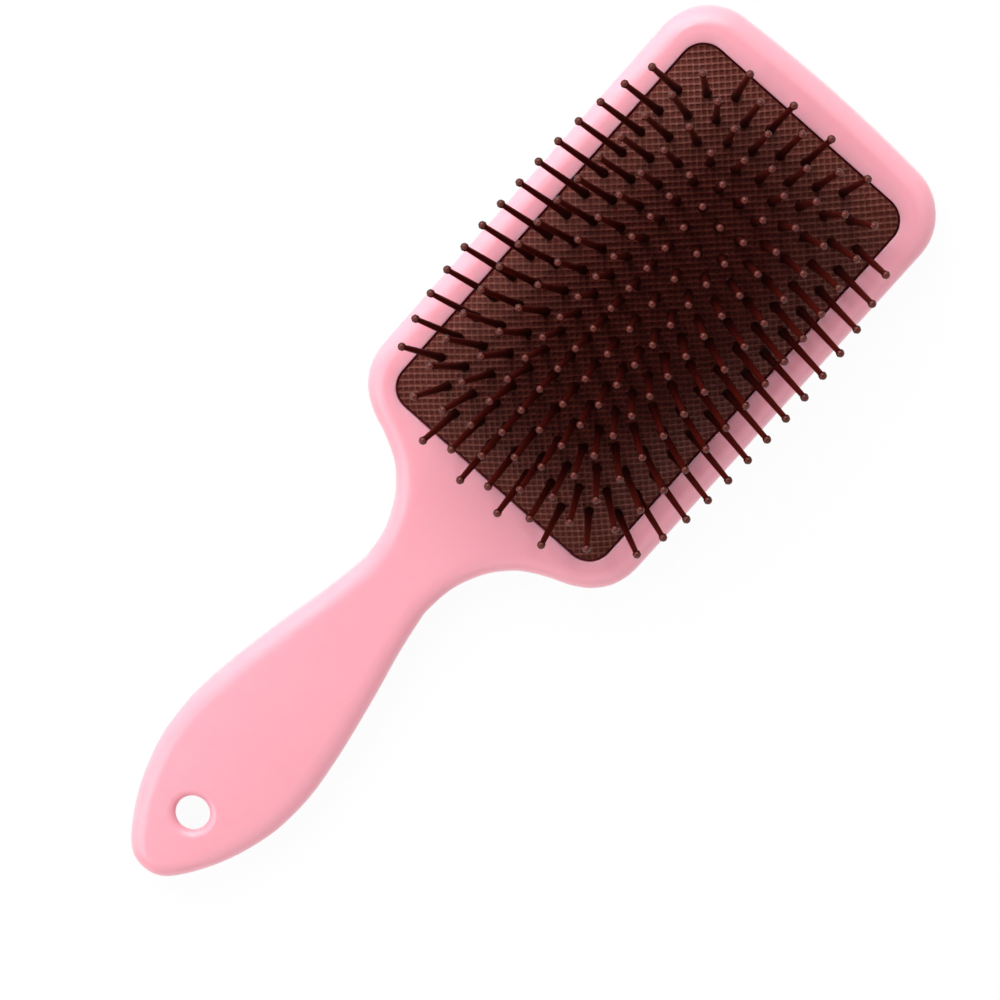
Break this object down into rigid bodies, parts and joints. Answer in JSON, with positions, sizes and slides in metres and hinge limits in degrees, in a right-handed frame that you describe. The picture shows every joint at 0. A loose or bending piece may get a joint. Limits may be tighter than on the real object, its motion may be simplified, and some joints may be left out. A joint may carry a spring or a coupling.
{
  "type": "hair brush",
  "caption": "Paddle hair brush: pink moulded body with a hang hole, domed air cushion of rubber, leaning ball-tipped pins that sink with the cushion.",
  "frame": {"origin": "in the plane of the flat back, under the middle of the brush's length and width", "axes": "+Z out of the pins' side, +Y from the grip towards the head's toe, +X to the right"},
  "size_m": [0.0846, 0.2524, 0.0433],
  "materials": {
    "pink_plastic": "glossy moulded plastic, pale pink",
    "brown_rubber": "dark brown rubber with a fine woven imprint",
    "maroon_nylon": "dark maroon nylon, slightly glossy"
  },
  "bodies": {
    "brush": {"brush_body": "pink_plastic", "cushion": "brown_rubber"},
    "column0_end": {"pins_middle_toe": "maroon_nylon", "pins_middle_heel": "maroon_nylon"},
    "column0_quarter": {"pins_middle_upper": "maroon_nylon", "pins_middle_lower": "maroon_nylon"},
    "column0_centre": {"pins_middle_centre": "maroon_nylon"},
    "column1_end": {"pins_left1_toe": "maroon_nylon", "pins_right1_toe": "maroon_nylon", "pins_left1_heel": "maroon_nylon", "pins_right1_heel": "maroon_nylon"},
    "column1_quarter": {"pins_left1_upper": "maroon_nylon", "pins_right1_upper": "maroon_nylon", "pins_left1_lower": "maroon_nylon", "pins_right1_lower": "maroon_nylon"},
    "column1_centre": {"pins_left1_centre": "maroon_nylon", "pins_right1_centre": "maroon_nylon"},
    "column2_end": {"pins_left2_toe": "maroon_nylon", "pins_right2_toe": "maroon_nylon", "pins_left2_heel": "maroon_nylon", "pins_right2_heel": "maroon_nylon"},
    "column2_quarter": {"pins_left2_upper": "maroon_nylon", "pins_right2_upper": "maroon_nylon", "pins_left2_lower": "maroon_nylon", "pins_right2_lower": "maroon_nylon"},
    "column2_centre": {"pins_left2_centre": "maroon_nylon", "pins_right2_centre": "maroon_nylon"},
    "column3_end": {"pins_left3_toe": "maroon_nylon", "pins_right3_toe": "maroon_nylon", "pins_left3_heel": "maroon_nylon", "pins_right3_heel": "maroon_nylon"},
    "column3_quarter": {"pins_left3_upper": "maroon_nylon", "pins_right3_upper": "maroon_nylon", "pins_left3_lower": "maroon_nylon", "pins_right3_lower": "maroon_nylon"},
    "column3_centre": {"pins_left3_centre": "maroon_nylon", "pins_right3_centre": "maroon_nylon"},
    "column4_end": {"pins_left4_toe": "maroon_nylon", "pins_right4_toe": "maroon_nylon", "pins_left4_heel": "maroon_nylon", "pins_right4_heel": "maroon_nylon"},
    "column4_quarter": {"pins_left4_upper": "maroon_nylon", "pins_right4_upper": "maroon_nylon", "pins_left4_lower": "maroon_nylon", "pins_right4_lower": "maroon_nylon"},
    "column4_centre": {"pins_left4_centre": "maroon_nylon", "pins_right4_centre": "maroon_nylon"},
    "column5_end": {"pins_left5_toe": "maroon_nylon", "pins_right5_toe": "maroon_nylon", "pins_left5_heel": "maroon_nylon", "pins_right5_heel": "maroon_nylon"},
    "column5_quarter": {"pins_left5_upper": "maroon_nylon", "pins_right5_upper": "maroon_nylon", "pins_left5_lower": "maroon_nylon", "pins_right5_lower": "maroon_nylon"},
    "column5_centre": {"pins_left5_centre": "maroon_nylon", "pins_right5_centre": "maroon_nylon"}
  },
  "joints": [
    {"name": "sink_column0_centre", "type": "slide", "parent": "brush", "child": "column0_centre", "axis": [0, 0, -1], "range_m": [0, 0.006], "stiffness_N_per_m": 240, "deforming": ["cushion"]},
    {"name": "sink_column0_end", "type": "slide", "parent": "brush", "child": "column0_end", "axis": [0, 0, -1], "range_m": [0, 0.00322], "stiffness_N_per_m": 60},
    {"name": "sink_column0_quarter", "type": "slide", "parent": "brush", "child": "column0_quarter", "axis": [0, 0, -1], "range_m": [0, 0.00503], "stiffness_N_per_m": 120},
    {"name": "sink_column1_end", "type": "slide", "parent": "brush", "child": "column1_end", "axis": [0, 0, -1], "range_m": [0, 0.00253], "stiffness_N_per_m": 120},
    {"name": "sink_column1_quarter", "type": "slide", "parent": "brush", "child": "column1_quarter", "axis": [0, 0, -1], "range_m": [0, 0.00439], "stiffness_N_per_m": 240},
    {"name": "sink_column1_centre", "type": "slide", "parent": "brush", "child": "column1_centre", "axis": [0, 0, -1], "range_m": [0, 0.00591], "stiffness_N_per_m": 720},
    {"name": "sink_column2_end", "type": "slide", "parent": "brush", "child": "column2_end", "axis": [0, 0, -1], "range_m": [0, 0.00311], "stiffness_N_per_m": 120},
    {"name": "sink_column2_quarter", "type": "slide", "parent": "brush", "child": "column2_quarter", "axis": [0, 0, -1], "range_m": [0, 0.00465], "stiffness_N_per_m": 240},
    {"name": "sink_column2_centre", "type": "slide", "parent": "brush", "child": "column2_centre", "axis": [0, 0, -1], "range_m": [0, 0.0058], "stiffness_N_per_m": 660},
    {"name": "sink_column3_end", "type": "slide", "parent": "brush", "child": "column3_end", "axis": [0, 0, -1], "range_m": [0, 0.00211], "stiffness_N_per_m": 120},
    {"name": "sink_column3_quarter", "type": "slide", "parent": "brush", "child": "column3_quarter", "axis": [0, 0, -1], "range_m": [0, 0.004], "stiffness_N_per_m": 240},
    {"name": "sink_column3_centre", "type": "slide", "parent": "brush", "child": "column3_centre", "axis": [0, 0, -1], "range_m": [0, 0.00529], "stiffness_N_per_m": 600},
    {"name": "sink_column4_end", "type": "slide", "parent": "brush", "child": "column4_end", "axis": [0, 0, -1], "range_m": [0, 0.00239], "stiffness_N_per_m": 120},
    {"name": "sink_column4_quarter", "type": "slide", "parent": "brush", "child": "column4_quarter", "axis": [0, 0, -1], "range_m": [0, 0.00356], "stiffness_N_per_m": 240},
    {"name": "sink_column4_centre", "type": "slide", "parent": "brush", "child": "column4_centre", "axis": [0, 0, -1], "range_m": [0, 0.00427], "stiffness_N_per_m": 540},
    {"name": "sink_column5_end", "type": "slide", "parent": "brush", "child": "column5_end", "axis": [0, 0, -1], "range_m": [0, 0.00166], "stiffness_N_per_m": 120},
    {"name": "sink_column5_quarter", "type": "slide", "parent": "brush", "child": "column5_quarter", "axis": [0, 0, -1], "range_m": [0, 0.00214], "stiffness_N_per_m": 240},
    {"name": "sink_column5_centre", "type": "slide", "parent": "brush", "child": "column5_centre", "axis": [0, 0, -1], "range_m": [0, 0.0024], "stiffness_N_per_m": 480}
  ],
  "couplings": [
    {"joint": "sink_column0_end", "follows": "sink_column0_centre", "ratio": 0.5327},
    {"joint": "sink_column0_quarter", "follows": "sink_column0_centre", "ratio": 0.8346},
    {"joint": "sink_column1_end", "follows": "sink_column0_centre", "ratio": 0.4178},
    {"joint": "sink_column1_quarter", "follows": "sink_column0_centre", "ratio": 0.7291},
    {"joint": "sink_column1_centre", "follows": "sink_column0_centre", "ratio": 0.9813},
    {"joint": "sink_column2_end", "follows": "sink_column0_centre", "ratio": 0.5148},
    {"joint": "sink_column2_quarter", "follows": "sink_column0_centre", "ratio": 0.7717},
    {"joint": "sink_column2_centre", "follows": "sink_column0_centre", "ratio": 0.9629},
    {"joint": "sink_column3_end", "follows": "sink_column0_centre", "ratio": 0.3475},
    {"joint": "sink_column3_quarter", "follows": "sink_column0_centre", "ratio": 0.6638},
    {"joint": "sink_column3_centre", "follows": "sink_column0_centre", "ratio": 0.8784},
    {"joint": "sink_column4_end", "follows": "sink_column0_centre", "ratio": 0.3946},
    {"joint": "sink_column4_quarter", "follows": "sink_column0_centre", "ratio": 0.5895},
    {"joint": "sink_column4_centre", "follows": "sink_column0_centre", "ratio": 0.709},
    {"joint": "sink_column5_end", "follows": "sink_column0_centre", "ratio": 0.274},
    {"joint": "sink_column5_quarter", "follows": "sink_column0_centre", "ratio": 0.3534},
    {"joint": "sink_column5_centre", "follows": "sink_column0_centre", "ratio": 0.3969}
  ]
}
